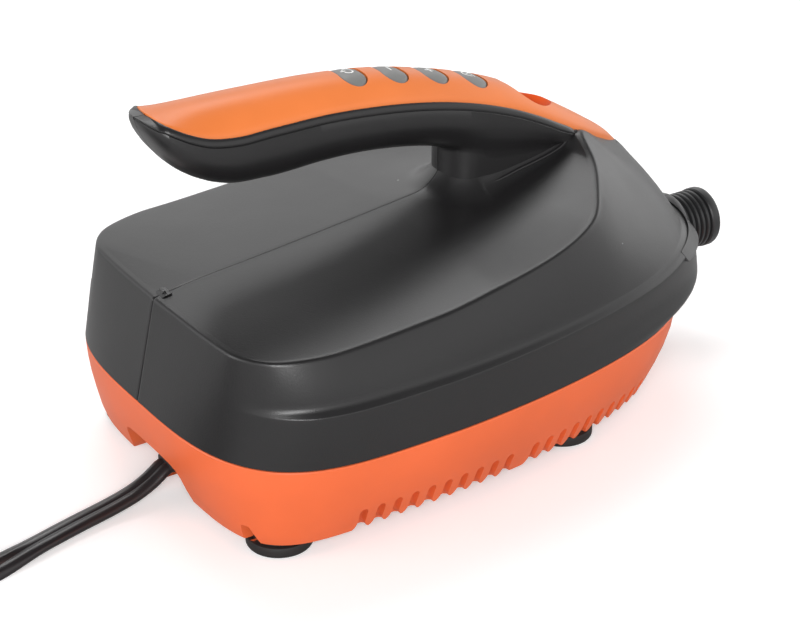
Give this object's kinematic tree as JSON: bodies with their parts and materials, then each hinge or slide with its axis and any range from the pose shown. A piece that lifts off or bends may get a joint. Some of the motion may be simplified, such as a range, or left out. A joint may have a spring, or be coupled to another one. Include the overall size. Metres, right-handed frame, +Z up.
{
  "type": "electric air mattress pump",
  "caption": "Iron-shaped twelve volt air pump with an arched handle, press buttons, ribbed air spout, slotted lower tray, rubber feet and a corded vehicle plug.",
  "frame": {"origin": "on the floor plane, at the middle of the pump's length and width, the cord left out", "axes": "+X along the length to the air spout, +Y to the left side, +Z up"},
  "size_m": [0.41, 0.14, 0.1284],
  "materials": {
    "orange": "moulded, fine texture",
    "orange_cover": "moulded, satin",
    "black": "moulded, fine texture, satin",
    "nozzle": "moulded",
    "button": "satin",
    "lens": "polished",
    "board": "lacquered",
    "rubber": "matte",
    "steel": "plated",
    "brass": "machined",
    "nylon": "moulded",
    "alloy": "cast",
    "cord": "semi gloss PVC"
  },
  "bodies": {
    "pump": {"base_tray": "orange", "handle_cover": "orange_cover", "housing_left": "black", "housing_right": "black", "switch_power": "black", "switch_minus": "black", "switch_plus": "black", "switch_unit": "black", "air_manifold": "black", "blower_duct": "black", "volute_lower": "black", "volute_upper": "black", "power_relay": "black", "plug_body": "black", "plug_cap": "black", "display_lens": "lens", "display_module": "nylon", "control_board": "board", "power_board": "board", "foot_rear_left": "rubber", "foot_rear_right": "rubber", "foot_front_left": "rubber", "foot_front_right": "rubber", "nozzle_seal": "rubber", "head_gasket": "rubber", "outlet_hose": "rubber", "cord_gland": "rubber", "screw_rear_left": "steel", "screw_rear_right": "steel", "screw_front_left": "steel", "screw_front_right": "steel", "blower_motor": "steel", "compressor_motor": "steel", "crank_bearing": "steel", "plug_tip": "steel", "plug_spring_left": "steel", "plug_spring_right": "steel", "compressor_frame": "alloy", "cylinder": "alloy", "cylinder_head": "alloy", "capacitor": "alloy", "nozzle": "nozzle", "supply_cord": "cord", "cord_coil": "cord"},
    "power_button": {"button_power": "button"},
    "minus_button": {"button_minus": "button"},
    "plus_button": {"button_plus": "button"},
    "unit_button": {"button_unit": "button"},
    "impeller": {"blower_impeller": "nylon", "blower_shaft": "steel"},
    "crank": {"crank_gear": "nylon", "crank_shaft": "steel"},
    "pinion": {"motor_pinion": "brass", "motor_shaft": "steel"},
    "piston": {"piston": "alloy", "wrist_pin": "steel", "piston_seal": "rubber"},
    "rod": {"connecting_rod": "alloy", "crank_pin": "steel"},
    "flap": {"valve_flap": "rubber"}
  },
  "joints": [
    {"name": "power_press", "type": "slide", "parent": "pump", "child": "power_button", "axis": [0, 0, -1], "range_m": [0, 0.0012], "stiffness_N_per_m": 800, "springref_m": -0.0006},
    {"name": "minus_press", "type": "slide", "parent": "pump", "child": "minus_button", "axis": [0, 0, -1], "range_m": [0, 0.0012], "stiffness_N_per_m": 800, "springref_m": -0.0006},
    {"name": "plus_press", "type": "slide", "parent": "pump", "child": "plus_button", "axis": [0, 0, -1], "range_m": [0, 0.0012], "stiffness_N_per_m": 800, "springref_m": -0.0006},
    {"name": "unit_press", "type": "slide", "parent": "pump", "child": "unit_button", "axis": [0, 0, -1], "range_m": [0, 0.0012], "stiffness_N_per_m": 800, "springref_m": -0.0006},
    {"name": "blower_spin", "type": "hinge", "parent": "pump", "child": "impeller", "pos_m": [-0.057, 0.014, 0], "axis": [0, 0, 1], "continuous": true},
    {"name": "crank_spin", "type": "hinge", "parent": "pump", "child": "crank", "pos_m": [0.0232, -0.003, 0.026], "axis": [1, 0, 0], "continuous": true},
    {"name": "motor_spin", "type": "hinge", "parent": "pump", "child": "pinion", "pos_m": [0.0232, -0.0229, 0.026], "axis": [1, 0, 0], "continuous": true},
    {"name": "piston_slide", "type": "slide", "parent": "pump", "child": "piston", "axis": [0, 0, 1], "range_m": [-0.0052, 0.0066]},
    {"name": "rod_swing", "type": "hinge", "parent": "piston", "child": "rod", "pos_m": [0.037, -0.003, 0.04924], "axis": [1, 0, 0], "range_deg": [-29, 0]},
    {"name": "flap_swing", "type": "hinge", "parent": "pump", "child": "flap", "pos_m": [0.0578, 0, 0.0447], "axis": [0, -1, 0], "range_deg": [0, 30]}
  ],
  "couplings": [
    {"joint": "motor_spin", "follows": "crank_spin", "ratio": -3.4}
  ]
}
